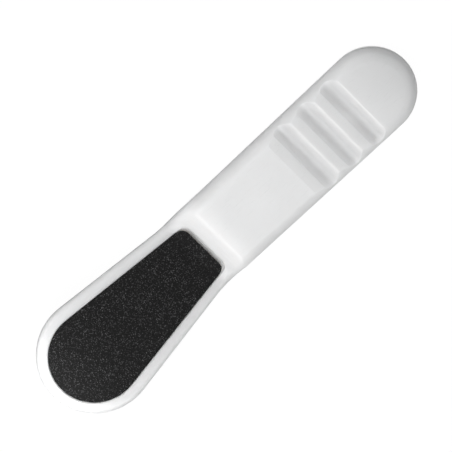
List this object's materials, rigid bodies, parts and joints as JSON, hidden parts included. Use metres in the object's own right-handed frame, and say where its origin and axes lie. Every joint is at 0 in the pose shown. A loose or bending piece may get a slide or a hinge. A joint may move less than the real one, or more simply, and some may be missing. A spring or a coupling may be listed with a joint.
{
  "type": "foot file",
  "caption": "Paddle-shaped foot file: a teardrop head with black abrasive sheets in recesses, bent up from a hollow, rounded plastic handle with cross grooves.",
  "frame": {"origin": "centre of the overall box, on the flat rear of the handle that the file lies on", "axes": "+X along the file to the rounded end of the handle, +Y across it, +Z out of the front face"},
  "size_m": [0.1992, 0.0496, 0.0215],
  "materials": {
    "white_plastic": "glossy moulded white plastic, slightly milky",
    "adhesive_film": "thin pressure-sensitive adhesive",
    "cloth_backing": "resin-treated backing cloth",
    "coarse_grit": "coarse black mineral grains set in dark resin",
    "fine_grit": "fine black mineral grains set in dark resin"
  },
  "bodies": {
    "root": {"front_shell": "white_plastic", "rear_shell": "white_plastic", "front_adhesive": "adhesive_film", "rear_adhesive": "adhesive_film", "front_backing": "cloth_backing", "rear_backing": "cloth_backing", "front_grit": "coarse_grit", "rear_grit": "fine_grit"}
  },
  "joints": []
}
